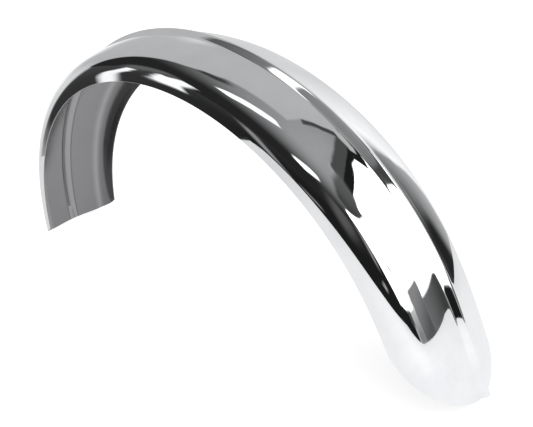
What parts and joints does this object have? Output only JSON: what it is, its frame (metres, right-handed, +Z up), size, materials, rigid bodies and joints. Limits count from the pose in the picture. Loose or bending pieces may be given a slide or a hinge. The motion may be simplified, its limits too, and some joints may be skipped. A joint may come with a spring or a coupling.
{
  "type": "motorcycle fender",
  "caption": "One-piece pressed steel mudguard with a crowned section, a raised centre bead, a square-cut front end and a rounded tail.",
  "frame": {"origin": "centre of the bounding box's footprint, on the level surface that the two ends stand on", "axes": "+Z up, +X towards the tail, Y across the guard; the arc lies in the XZ plane"},
  "size_m": [0.7416, 0.127, 0.3262],
  "materials": {
    "chrome_sheet": "polished outside, duller satin plating inside"
  },
  "bodies": {
    "root": {"fender": "chrome_sheet"}
  },
  "joints": []
}
